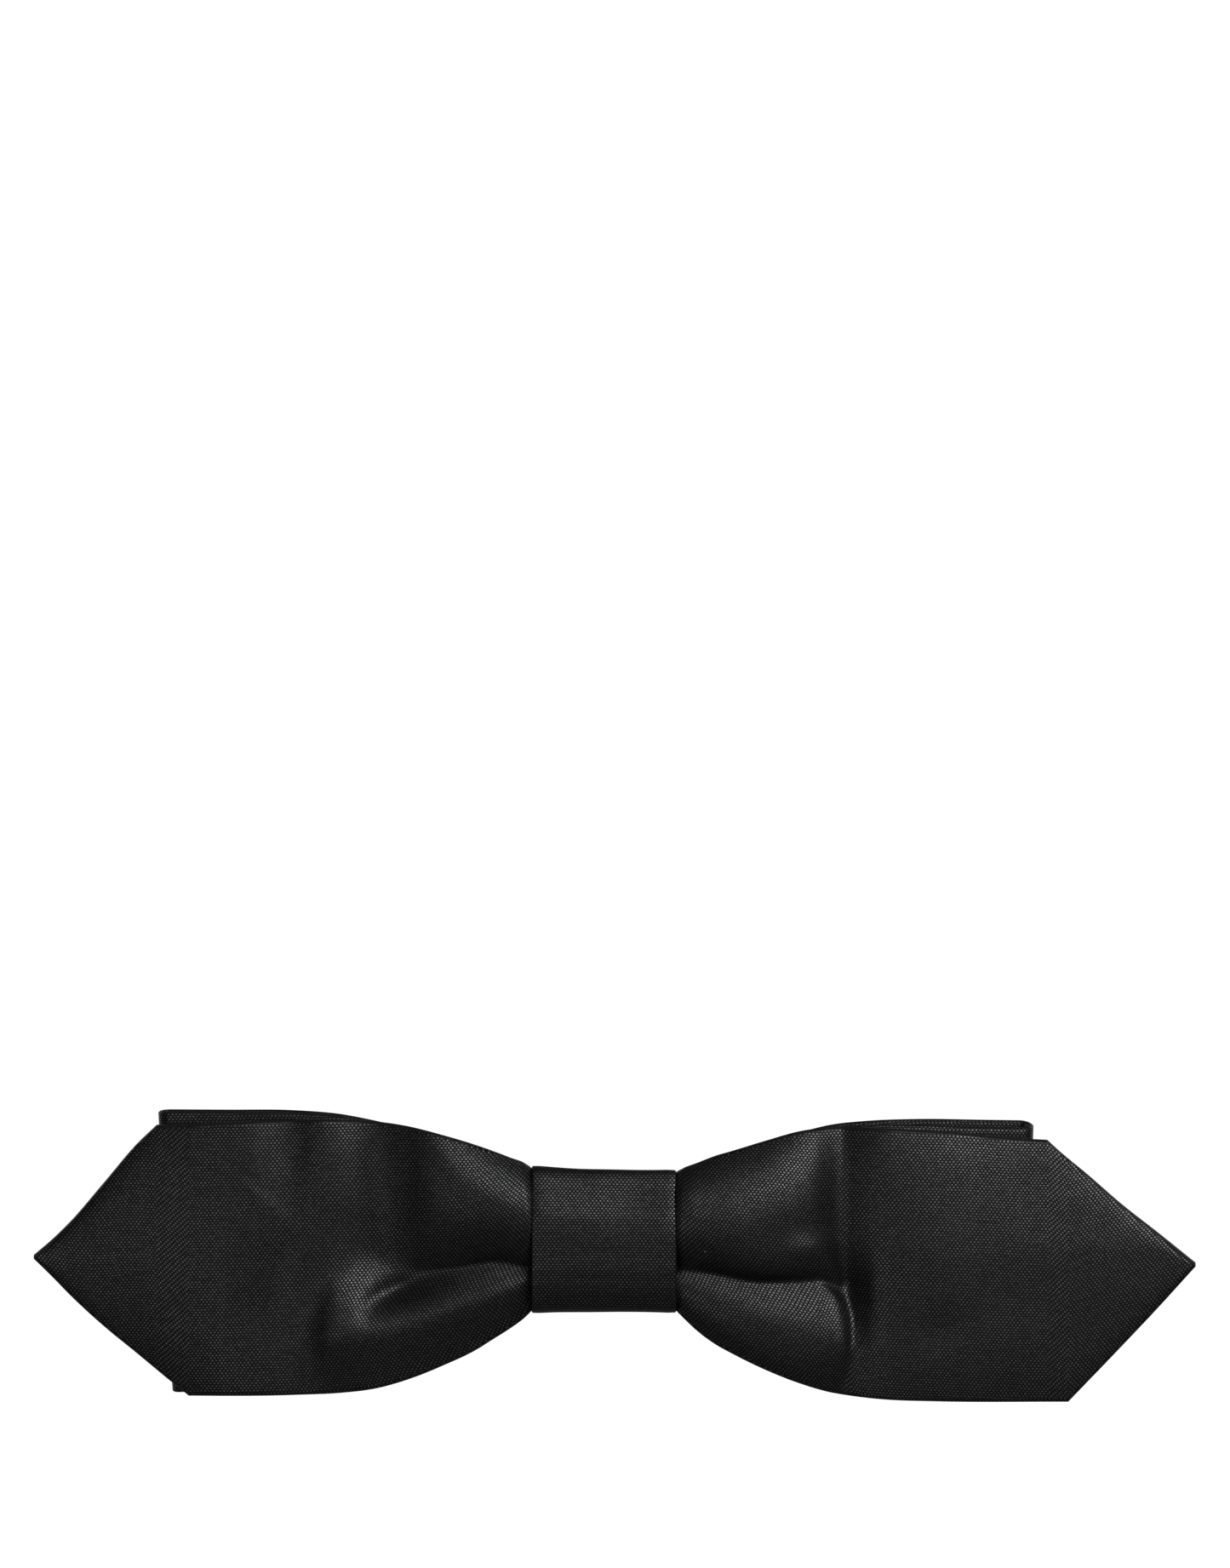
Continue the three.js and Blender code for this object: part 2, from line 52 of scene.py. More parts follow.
BLADE_THICK = 1.5
BLADE_FACE_Y = -8.0
BLADE_STEP = 0.42  # along the bow, between one ring of the mesh and the next
BLADE_ROWS = 121
BLADE_WAYS = {
    # Distance from the middle of the bow, then height, along the top and the bottom edge.
    -1: {
        "corner_top": (50.1, 12.95), "corner_bottom": (46.5, -17.42), "tip": (63.9, -1.9),
        "top": [
            (0, 5.6), (6, 6.0), (7.6, 7.2), (8.0, 8.0), (8.7, 8.6), (10.4, 9.3), (14.2, 10.7),
            (18, 11.85), (21.8, 12.8), (25.6, 13.35), (31, 13.6), (40, 13.35), (50.1, 12.95),
        ],
        "bottom": [
            (0, -5.6), (6, -5.9), (7.6, -7.1), (8.0, -7.75), (8.7, -8.5), (10.4, -9.8), (12.3, -11.0),
            (14.2, -12.2), (18, -14.0), (21.8, -15.5), (25.6, -16.56), (29.5, -17.05), (35.2, -17.3),
            (46.5, -17.42),
        ],
        "top_slant": [
            (50.1, 12.95), (52.3, 10.85), (56.1, 6.4), (59.9, 2.0), (61.8, 0.15), (63.9, -1.65),
        ],
        "bottom_slant": [
            (46.5, -17.42), (48.5, -15.85), (52.3, -12.75), (56.1, -9.65), (59.9, -6.15), (61.8, -4.2),
            (63.9, -2.15),
        ],
    },
    1: {
        "corner_top": (49.7, 11.25), "corner_bottom": (52.0, -18.1), "tip": (66.3, -2.75),
        "top": [
            (0, 5.6), (6, 6.0), (7.6, 7.1), (8.0, 7.6), (8.7, 8.05), (10.5, 8.76), (12.4, 9.5),
            (14.3, 10.05), (18.1, 11.2), (21.9, 12.25), (25.7, 12.72), (31, 12.6), (38.6, 12.2),
            (47, 11.4), (49.7, 11.25),
        ],
        "bottom": [
            (0, -5.6), (6, -5.9), (7.6, -7.1), (8.0, -7.75), (8.7, -8.5), (10.5, -10.2), (12.4, -11.6),
            (14.3, -12.65), (18.1, -14.5), (21.9, -16.0), (25.7, -17.1), (27.6, -17.4), (31.5, -17.8),
            (37.2, -18.0), (52.0, -18.1),
        ],
        "top_slant": [(49.7, 11.25), (50.5, 10.5), (54.3, 7.3), (58.1, 4.0), (62, 0.95), (66.3, -2.5)],
        "bottom_slant": [(52.0, -18.1), (58.1, -11.8), (62, -7.7), (66.3, -3.0)],
    },
}


def through(at, knots):
    """A smooth line through (place, value) pairs, read at the given places."""
    place, value = np.array(knots, float).T
    lean = np.gradient(value, place)
    at = np.clip(at, place[0], place[-1])
    i = np.clip(np.searchsorted(place, at, "right") - 1, 0, len(place) - 2)
    step = place[i + 1] - place[i]
    t = (at - place[i]) / step
    return (
        (2 * t**3 - 3 * t**2 + 1) * value[i]
        + (t**3 - 2 * t**2 + t) * step * lean[i]
        + (3 * t**2 - 2 * t**3) * value[i + 1]
        + (t**3 - t**2) * step * lean[i + 1]
    )


def blade_edge(side, edge, away):
    """Height of the blade's top or bottom edge at a distance from the middle of the bow."""
    wing = BLADE_WAYS[side]
    corner = wing["corner_" + edge][0]
    return np.where(away <= corner, through(away, wing[edge]), through(away, wing[edge + "_slant"]))


def tuck(along, across, line, reach_over, reach_under, sharp=1.4, sharp_under=None):
    """Depth pressed in along a line of (place along, place across, depth). A reach can be a list of
    (place along, reach) pairs."""
    line = np.array(line, float)
    off = across - through(along, line[:, [0, 1]])
    depth = through(along, line[:, [0, 2]])
    over, under = (through(along, r) if isinstance(r, list) else r for r in (reach_over, reach_under))
    fall = np.where(off > 0, sharp, sharp_under or sharp)
    return depth * np.exp(-((np.abs(off) / np.where(off > 0, over, under)) ** fall))


def lip(along, across, line, rise, drop, soft=0.5):
    """A roll's face: it comes forward to its crest line (place along, place across, height) at the
    slope rise and falls back below it at the slope drop."""
    line = np.array(line, float)
    off = across - through(along, line[:, [0, 1]])
    above, below = (soft * np.logaddexp(0, way * off / soft) for way in (1, -1))
    return through(along, line[:, [0, 2]]) - through(along, rise) * above - through(along, drop) * below


def meet(one, other, soft):
    """The nearer of two faces, rounded a little where they meet in a crease."""
    return soft * np.logaddexp(one / soft, other / soft)


def swell(along, across, place, size, height, turn=0.0):
    """A soft oval rise; turn leans its long axis, in degrees."""
    c, s = math.cos(math.radians(turn)), math.sin(math.radians(turn))
    a, z = along - place[0], across - place[1]
    return height * np.exp(-(((a * c + z * s) / size[0]) ** 2) - ((z * c - a * s) / size[1]) ** 2)


def soft_ripple(x, z, seed, size, height):
    """Slow unevenness of cloth that has been handled: a few crossing waves."""
    dice = np.random.default_rng(seed)
    total = np.zeros_like(x)
    for _ in range(14):
        way, shift = dice.uniform(0, 2 * math.pi, 2)
        pitch = size * dice.uniform(0.6, 1.8)
        total += np.sin((x * math.cos(way) + z * math.sin(way)) * 2 * math.pi / pitch + shift)
    return height * total / 5


# The rolls and creases that hands pressed into each wing when the bow was tied. Threes along a wing
# are (away from the middle, height, depth or rise), and up a wing (height, away, depth). Pairs are
# (place, value).
CREST_AT_KNOT = [(0, 0.0), (6, 0.6), (7.3, 0.8), (7.65, 1.1), (7.85, 1.9), (8.0, 2.5), (8.25, 2.7)]
ROLL_FAR = [(25, 0.9), (30, 0.55), (37, 0.4), (67, 0.2)]
ROLL_FULLNESS = [(0, 3.0), (8, 3.0), (12, 2.4), (20, 2.8), (30, 4.0), (67, 7.0)]
BLADE_FOLDS = {
    -1: {
        "crest": CREST_AT_KNOT + [
            (9.6, 3.1), (12, 3.6), (14.2, 3.75), (17, 3.45), (19.8, 2.6), (22.5, 1.3), (25, 0.35),
            (27.2, 0.1), (30, 0.35), (36, 0.65), (42, 0.25), (48, -0.5), (54, -1.25), (67, -2.9),
        ],
        "roll": [(0, 1.2), (8, 2.4), (14, 2.8), (20, 1.6)] + ROLL_FAR,
        "groove": [
            (0, -3.1, 1.6), (8, -3.1, 2.5), (12, -3.3, 3.5), (17, -3.6, 2.3), (20.5, -3.8, 1.2),
            (23, -3.9, 0.7), (25.6, -4.2, 0.5), (28.5, -5.4, 0.5), (31.4, -6.6, 0.3), (35, -7, 0),
        ],
        "groove_over": [(8, 2.2), (12, 3.2), (20, 3.6)],
        "groove_under": 99,
        "groove_sharp": 1.2,
        "lip": [
            (0, -4.4, -0.2), (8, -4.5, 0.8), (12, -5.9, 1.3), (17, -7.6, 1.6), (22, -9.2, 1.7),
            (26, -10.3, 1.9), (29, -10.6, 2.05), (30.8, -10.6, 1.85), (32.5, -10.6, 0.9),
            (34.5, -10.5, -0.6), (40, -10, -4), (67, -10, -6),
        ],
        "lip_rise": [(0, 0.5), (8, 0.5), (12, 0.42), (17, 0.42), (22, 0.4), (26, 0.33), (30, 0.26)],
        "lip_drop": [(0, 0.4), (8, 0.42), (17, 0.32), (25, 0.22), (29, 0.32), (34, 0.32)],
        "lip_soft": 0.6,
        "meet_soft": [(8, 0.1), (20, 0.13), (26, 0.4), (34, 0.6)],
    },
    1: {
        "crest": CREST_AT_KNOT + [
            (9.4, 3.0), (10.8, 3.05), (12.5, 3.0), (14.5, 2.85), (17, 2.4), (20, 1.7), (23, 0.8),
            (25, 0.15), (26.6, -0.1), (28.2, 0.15), (30.5, 0.6), (34, 0.75), (38, 0.6), (44, 0.05),
            (50, -0.6), (67, -2.3),
        ],
        "roll": [(0, 1.2), (8, 2.4), (14, 2.8), (20, 2.0)] + ROLL_FAR,
        "groove": [
            (0, -3.1, 1.6), (8, -3.1, 2.5), (12, -4.2, 3.3), (16, -5.1, 3.1), (20, -5.2, 2.6),
            (24, -5.1, 1.7), (26.5, -5.0, 1.0), (28.5, -4.8, 0.4), (30, -4.5, 0),
        ],
        "groove_over": [(8, 2.2), (13, 2.2), (18, 1.5), (26, 1.5)],
        "groove_under": [(8, 99), (21, 99), (26, 9), (30, 8)],
        "groove_sharp": 1.5,
        "lip": [
            (0, -4.4, -0.2), (8, -4.8, 0.9), (12, -6.2, 1.3), (16, -7.6, 1.5), (20, -8.7, 1.4),
            (23, -9.7, 1.3), (26, -10.7, 1.15), (28, -11.2, 0.95), (31, -11.5, 0.5), (40, -11.5, -3),
            (67, -11.5, -5),
        ],
        "lip_rise": [(0, 0.5), (8, 0.5), (12, 0.48), (17, 0.44), (22, 0.36), (28, 0.28)],
        "lip_drop": [(0, 0.3), (8, 0.24), (17, 0.12), (23, 0.1), (27, 0.22), (34, 0.3)],
        "lip_soft": 1.2,
        "meet_soft": [(8, 0.1), (20, 0.13), (29, 0.13), (34, 0.5)],
    },
}
LEFT_SLOPE_EDGE = [(0, 2), (9, 3.2), (14, 6.5), (20, 9.5), (26, 12)]
LEFT_SLOPE = [(7.5, 0), (11, 0.1), (16, 0.14), (20, 0.14), (25, 0.07), (29, 0)]
LEFT_NEST = [(16.5, -4.0, 0), (19.5, -4.5, 0.4), (22.5, -5.2, 0.9), (25, -6.1, 0.7), (27.5, -7.4, 0)]
LEFT_VALLEY = [
    (-17, 34, 0.05), (-13, 36, 0.4), (-8, 37, 0.65), (-3, 36.6, 0.5), (2, 35.6, 0.25), (6, 35.2, 0.6),
    (10, 35, 1.0), (13, 35, 1.0),
]
LEFT_RIDGE = [(33.5, 0.8, 0), (37.5, 4.0, 0.1), (43, 8.4, 0.12), (50, 13.3, 0.06)]
RIGHT_NOSE = [(-18, 25.4), (-14.3, 26.3), (-11, 27.2), (-8.3, 27.5), (-6.7, 26.9), (-5.2, 25.4), (-3, 23)]
RIGHT_NOSE_FALL = [(-18, 0.3), (-13, 0.7), (-9.5, 1.6), (-6, 2.5)]
RIGHT_BULGE = [(9, 4.0, 0), (15, 4.6, 0.3), (20.5, 5.0, 0.5), (23.8, 5.0, 0.4), (27.5, 5, 0)]
RIGHT_CREASE = [
    (-12, 27.8, 0), (-9.5, 27.8, 0.5), (-6, 27.5, 1.1), (-3, 27, 1.2), (0, 26.7, 0.8), (6, 26.8, 0.7),
    (11, 26.8, 0.6), (13, 26.8, 0.55),
]
RIGHT_CREASE_OUTER = [(-9, 1.0), (-2, 1.1), (3, 2.0), (13, 2.2)]


def blade_face(side, away, z, top, bottom):
    """How far the front of the blade stands forward, in mm, as it would lie on a table."""
    folds = BLADE_FOLDS[side]
    w = np.clip((2 * z - top - bottom) / (top - bottom), -1, 1)
    roll = through(away, folds["roll"]) * np.abs(w) ** through(away, ROLL_FULLNESS)
    face = through(away, folds["crest"]) - roll
    reach = folds["groove_over"], folds["groove_under"]
    upper = face - tuck(away, z, folds["groove"], *reach, folds["groove_sharp"])
    lower = lip(away, z, folds["lip"], folds["lip_rise"], folds["lip_drop"], folds["lip_soft"])
    soft = through(away, folds["meet_soft"])
    if side < 0:
        below = np.logaddexp(0, (through(away, LEFT_SLOPE_EDGE) - z) / 1.2) * 1.2
        upper -= through(away, LEFT_SLOPE) * below
        face = meet(upper, lower, soft)
        face -= tuck(away, z, LEFT_NEST, 1.4, 1.7, 2)
        face -= tuck(z, away, LEFT_VALLEY, 4.0, 2.4, 2)
        face += tuck(away, z, LEFT_RIDGE, 0.8, 1.0, 1.6)
        # The tip leans back from a line a little below its middle.
        lean_low = np.clip((away - 43) / 10, 0, 1) * 0.13
        lean_high = np.clip((away - 46) / 12, 0, 1) * 0.1
        face -= lean_low * np.log1p(np.exp(-(z + 1.9) * 2.2)) / 2.2
        face -= lean_high * np.log1p(np.exp((z + 1.5) * 1.2)) / 1.2
    else:
        lower -= 0.9 * np.abs(w) ** 10
        past_nose = np.logaddexp(0, (away - through(z, RIGHT_NOSE)) / 0.25) * 0.25
        lower -= through(z, RIGHT_NOSE_FALL) * past_nose
        face = meet(upper, lower, soft)
        face += tuck(away, z, RIGHT_BULGE, 6, 5, 2)
        face += swell(away, z, (23.0, -1.0), (2.4, 1.6), 0.4)
        face -= tuck(z, away, RIGHT_CREASE, 2.3, RIGHT_CREASE_OUTER, 1.3, 1.9)
        face -= swell(away, z, (37.5, -10.5), (3.0, 2.2), 0.2, 35)
        # Past the crease the wing leans back, more and more to its tip, from a line near its middle.
        face -= np.clip((away - 24) / 18, 0, 1) * (0.055 * np.sqrt((z + 1.5) ** 2 + 9) + 0.04 * z)
    return face


def blade_stations(step):
    """Places along the bow where the blade is cut: even steps, each corner and point exactly, and
    finer steps where it comes out of the knot."""
    places = {0.0}
    for side, wing in BLADE_WAYS.items():
        stops = sorted([0.0, wing["corner_top"][0], wing["corner_bottom"][0], wing["tip"][0]])
        for low, high in zip(stops, stops[1:]):
            count = max(2, round((high - low) / step))
            places |= {side * v for v in np.linspace(low, high, count + 1)}
        places |= {side * v for v in np.arange(7.5, 9.2, 0.15)}
    places = np.array(sorted(places))
    return places[np.append(True, np.diff(places) > 0.04)]


def rim(count):
    """Quarter steps round a soft folded edge, as (out, through) from the front face to the rear."""
    turn = np.linspace(0, math.pi, count + 2)[1:-1]
    return np.sin(turn), (1 - np.cos(turn)) / 2


def blade_rings(rows, rim_count=6):
    """Each ring goes up the front, over the top fold, down the rear and round the bottom fold."""
    x = blade_stations(BLADE_STEP)
    top = np.where(x < 0, blade_edge(-1, "top", -x), blade_edge(1, "top", x))[:, None]
    bottom = np.where(x < 0, blade_edge(-1, "bottom", -x), blade_edge(1, "bottom", x))[:, None]
    slim = np.minimum(0.4, (top - bottom) * 0.45)
    s = np.linspace(-1, 1, rows)[None, :]
    w = 0.45 * s + 0.55 * np.sin(s * math.pi / 2)
    z = (top + bottom) / 2 + w * ((top - bottom) / 2 - slim)
    along = np.broadcast_to(x[:, None], z.shape)
    lie = np.where(
        along < 0,
        blade_face(-1, np.abs(along), z, top - slim, bottom + slim),
        blade_face(1, np.abs(along), z, top - slim, bottom + slim),
    )
    ripple = soft_ripple(along, z, 5, 17, 0.06) + soft_ripple(along, z, 6, 7, 0.022)
    lie = lie + ripple * np.clip((np.abs(along) - 7) / 5, 0, 1)
    front = BLADE_FACE_Y - lie
    out, deep = rim(rim_count)
    top_z = z[:, -1:] + out * slim
    top_y = front[:, -1:] + deep * BLADE_THICK
    low_z = z[:, :1] - out[::-1] * slim
    low_y = front[:, :1] + deep[::-1] * BLADE_THICK
    ring_z = np.hstack([z, top_z, z[:, ::-1], low_z])
    ring_y = np.hstack([front, top_y, front[:, ::-1] + BLADE_THICK, low_y])
    ring_x = np.broadcast_to(x[:, None], ring_z.shape)
    return np.stack([ring_x, ring_y, ring_z], 2)


def cut_size(rings, zero):
    """How far round its ring every point lies, in mm, counted from the column zero."""
    around = np.concatenate([rings, rings[:, :1]], 1)
    step = np.linalg.norm(np.diff(around, axis=1), axis=2)
    across = np.concatenate([np.zeros((len(rings), 1)), np.cumsum(step, 1)], 1)
    across -= across[:, zero : zero + 1]
    return across


def cloth_skin(name, rings, along, across, close_path=False):
    """A closed skin of quads over rings of points in mm, with its flat cloth as the UV map Cloth."""
    count, around = rings.shape[:2]
    joins = count if close_path else count - 1
    i, k = np.meshgrid(np.arange(joins), np.arange(around), indexing="ij")
    here, there = i * around, ((i + 1) % count) * around
    right = (k + 1) % around
    quads = np.stack([here + k, there + k, there + right, here + right], 2).reshape(-1, 4)
    cloth = np.stack(
        [
            np.stack([along[i, k], across[i, k]], 2),
            np.stack([along[i + 1, k], across[i + 1, k]], 2),
            np.stack([along[i + 1, k + 1], across[i + 1, k + 1]], 2),
            np.stack([along[i, k + 1], across[i, k + 1]], 2),
        ],
        2,
    ).reshape(-1, 2)
    faces = quads.tolist()
    if not close_path:
        faces.append(list(range(around)))
        faces.append([(count - 1) * around + n for n in range(around)][::-1])
        cloth = np.vstack([cloth, np.stack([along[0], across[0]], 1)[:around]])
        cloth = np.vstack([cloth, np.stack([along[-1], across[-1]], 1)[:around][::-1]])
    mesh = bpy.data.meshes.new(name)
    mesh.from_pydata((rings.reshape(-1, 3) / 1000).tolist(), [], faces)
    mesh.uv_layers.new(name="Cloth").data.foreach_set("uv", cloth.ravel())
    mesh.polygons.foreach_set("use_smooth", [True] * len(faces))
    mesh.update()
    piece = bpy.data.objects.new(name, mesh)
    bpy.context.scene.collection.objects.link(piece)
    return piece


blade_shape = blade_rings(BLADE_ROWS)
run = np.hypot(np.diff(blade_shape[:, :, 0], axis=0), np.diff(blade_shape[:, :, 1], axis=0))
blade_along = np.vstack([np.zeros((1, run.shape[1])), np.cumsum(run, 0)])
blade_along = np.hstack([blade_along, blade_along[:, :1]])
middle = int(np.argmin(np.abs(blade_shape[:, 0, 0])))
blade_along -= blade_along[middle]

# The yarns bend softly round the pleats, and past them they lie straight again.
YARN_SOFTENING = 60  # passes that even out the bend between one yarn and the next
YARNS_STRAIGHT_AT = 37
PLEATS_END_AT = 26
level = blade_along.mean(1, keepdims=True)
bend = (blade_along - level)[:, :-1]
for _ in range(YARN_SOFTENING):
    bend = (np.roll(bend, 1, 1) + 2 * bend + np.roll(bend, -1, 1)) / 4
pleated = (YARNS_STRAIGHT_AT - np.abs(blade_shape[:, :1, 0])) / (YARNS_STRAIGHT_AT - PLEATS_END_AT)
blade_along = level + np.hstack([bend, bend[:, :1]]) * np.clip(pleated, 0, 1)

# The rear ply is a flat piece of its own, sewn to the front along the folds.
blade_across = cut_size(blade_shape, BLADE_ROWS * 45 // 100)
rim_columns = (blade_shape.shape[1] - 2 * BLADE_ROWS) // 2
rear_top, rear_foot = BLADE_ROWS + rim_columns, 2 * BLADE_ROWS + rim_columns - 1
low_rim = blade_across[:, rear_foot + 1 :] - blade_across[:, rear_foot : rear_foot + 1]
edge = blade_across[:, BLADE_ROWS - 1 : BLADE_ROWS]
start = float(np.mean(edge[:, 0] + blade_shape[:, BLADE_ROWS - 1, 2])) + BLADE_THICK
blade_across[:, rear_top : rear_foot + 1] = start - blade_shape[:, rear_top : rear_foot + 1, 2]
share = np.arange(1, rim_columns + 1) / (rim_columns + 1)
blade_across[:, BLADE_ROWS:rear_top] = edge + (blade_across[:, rear_top : rear_top + 1] - edge) * share
blade_across[:, rear_foot + 1 :] = blade_across[:, rear_foot : rear_foot + 1] + low_rim
blade = cloth_skin("blade", blade_shape, blade_along, blade_across)


# The silk: a plain weave of fine glossy yarn, piece-dyed black. Bright dashes are the yarns that run
# along the bow where they pass over the others. The colour paints them lighter, as a painted highlight,
# and paints the hollows between yarns darker, as painted shade. Weave and lint are groups, since other cloth
# uses them.

YARN_ALONG = 0.285  # from one yarn that runs along the bow to the next
YARN_ACROSS = 0.212  # and from one crossing yarn to the next
# Painted shade in the hollows between yarns, and the yarns' own black lightened with a painted highlight.
SILK_HOLLOW_PAINTED_SHADE = (0.003, 0.003, 0.0035, 1)
SILK_YARN_PAINTED_GLINT = (0.0135, 0.014, 0.0155, 1)
LINT_GREY = (0.12, 0.12, 0.12, 1)


def socket(tree, name, way, kind="NodeSocketFloat", value=None):
    made = tree.interface.new_socket(name, in_out=way, socket_type=kind)
    if value is not None:
        made.default_value = value
    return made


def math_node(tree, operation, *inputs, clamp=False):
    node = tree.nodes.new("ShaderNodeMath")
    node.operation, node.use_clamp = operation, clamp
    for n, value in enumerate(inputs):
        if isinstance(value, (int, float)):
            node.inputs[n].default_value = value
        else:
            tree.links.new(value, node.inputs[n])
    return node.outputs[0]


def plain_weave():
    """Group: a plain weave from a place on flat cloth in mm. Gives height, over-yarn and yarn shade."""
    tree = bpy.data.node_groups.new("Plain weave", "ShaderNodeTree")
    socket(tree, "Cloth", "INPUT", "NodeSocketVector")
    socket(tree, "Across pitch", "INPUT", value=0.2)
    socket(tree, "Along pitch", "INPUT", value=0.2)
    for name in ("Height", "Over", "Shade"):
        socket(tree, name, "OUTPUT")
    come, go = tree.nodes.new("NodeGroupInput"), tree.nodes.new("NodeGroupOutput")
    wander = tree.nodes.new("ShaderNodeTexNoise")
    wander.inputs["Scale"].default_value = 0.55
    wander.inputs["Detail"].default_value = 3
    tree.links.new(come.outputs["Cloth"], wander.inputs["Vector"])
    spread = tree.nodes.new("ShaderNodeVectorMath")
    spread.operation = "MULTIPLY_ADD"
    tree.links.new(wander.outputs["Color"], spread.inputs[0])
    spread.inputs[1].default_value = (0.22, 0.22, 0)
    tree.links.new(come.outputs["Cloth"], spread.inputs[2])
    part = tree.nodes.new("ShaderNodeSeparateXYZ")
    tree.links.new(spread.outputs[0], part.inputs[0])
    u = math_node(tree, "DIVIDE", part.outputs[0], come.outputs["Across pitch"])
    v = math_node(tree, "DIVIDE", part.outputs[1], come.outputs["Along pitch"])
    wave_u = math_node(tree, "SINE", math_node(tree, "MULTIPLY", u, math.pi))
    wave_v = math_node(tree, "SINE", math_node(tree, "MULTIPLY", v, math.pi))
    cross = math_node(tree, "MULTIPLY", wave_u, wave_v)
    # A dash is a little longer than half the repeat, and rounded at its ends and sides.
    long = math_node(tree, "MULTIPLY_ADD", wave_u, math_node(tree, "SIGN", wave_v), 0.55)
    dome = math_node(tree, "MULTIPLY", math_node(tree, "MAXIMUM", long, 0.0), 0.645)
    sides = math_node(tree, "POWER", math_node(tree, "ABSOLUTE", wave_v), 1.2)
    over = math_node(tree, "MULTIPLY", math_node(tree, "POWER", dome, 0.5), sides)
    crossing = math_node(tree, "MAXIMUM", math_node(tree, "MULTIPLY", cross, -1.0), 0.0)
    under = math_node(tree, "POWER", crossing, 0.8)
    height = math_node(tree, "ADD", over, math_node(tree, "MULTIPLY", under, 0.6))
    # Every yarn takes the dye and the light a little differently along its length.
    row = tree.nodes.new("ShaderNodeCombineXYZ")
    tree.links.new(math_node(tree, "MULTIPLY", part.outputs[0], 0.35), row.inputs[0])
    tree.links.new(math_node(tree, "MULTIPLY", math_node(tree, "FLOOR", v), 7.31), row.inputs[1])
    yarn = tree.nodes.new("ShaderNodeTexNoise")
    yarn.inputs["Scale"].default_value = 1.0
    yarn.inputs["Detail"].default_value = 2
    tree.links.new(row.outputs[0], yarn.inputs["Vector"])
    cell = tree.nodes.new("ShaderNodeCombineXYZ")
    tree.links.new(math_node(tree, "FLOOR", u), cell.inputs[0])
    tree.links.new(math_node(tree, "FLOOR", v), cell.inputs[1])
    dash = tree.nodes.new("ShaderNodeTexWhiteNoise")
    dash.noise_dimensions = "2D"
    tree.links.new(cell.outputs[0], dash.inputs["Vector"])
    shade = math_node(tree, "ADD", math_node(tree, "MULTIPLY", yarn.outputs["Fac"], 0.5),
                      math_node(tree, "MULTIPLY", dash.outputs["Value"], 0.5))
    tree.links.new(height, go.inputs["Height"])
    tree.links.new(math_node(tree, "MINIMUM", over, 1.0), go.inputs["Over"])
    tree.links.new(shade, go.inputs["Shade"])
    return tree


def lint():
    """Group: sparse specks of dust and fibre caught in a cloth, from a place in metres."""
    tree = bpy.data.node_groups.new("Lint", "ShaderNodeTree")
    socket(tree, "Place", "INPUT", "NodeSocketVector")
    socket(tree, "Speck", "INPUT", value=0.05)
    socket(tree, "Mask", "OUTPUT")
    come, go = tree.nodes.new("NodeGroupInput"), tree.nodes.new("NodeGroupOutput")
    cells = tree.nodes.new("ShaderNodeTexVoronoi")
    cells.inputs["Scale"].default_value = 330
    tree.links.new(come.outputs["Place"], cells.inputs["Vector"])
    near = math_node(tree, "LESS_THAN", cells.outputs["Distance"], come.outputs["Speck"])
    pick = tree.nodes.new("ShaderNodeSeparateColor")
    tree.links.new(cells.outputs["Color"], pick.inputs[0])
    some = math_node(tree, "GREATER_THAN", pick.outputs[0], 0.72)
    tree.links.new(math_node(tree, "MULTIPLY", near, some), go.inputs["Mask"])
    return tree


def mix_colour(tree, factor, low, high):
    node = tree.nodes.new("ShaderNodeMix")
    node.data_type = "RGBA"
    for name, value in (("Factor", factor), ("A", low), ("B", high)):
        target = next(s for s in node.inputs if s.name == name and s.enabled)
        if isinstance(value, (tuple, float, int)):
            target.default_value = value
        else:
            tree.links.new(value, target)
    return next(s for s in node.outputs if s.enabled)


def plain_material(name):
    material = bpy.data.materials.new(name)
    material.use_nodes = True
    return material, material.node_tree, material.node_tree.nodes["Principled BSDF"]


def relief(tree, shader, height, strength, depth):
    """Small relief on a shader from a height socket. Depth in metres."""
    bump = tree.nodes.new("ShaderNodeBump")
    bump.inputs["Strength"].default_value = strength
    bump.inputs["Distance"].default_value = depth
    tree.links.new(height, bump.inputs["Height"])
    tree.links.new(bump.outputs[0], shader.inputs["Normal"])


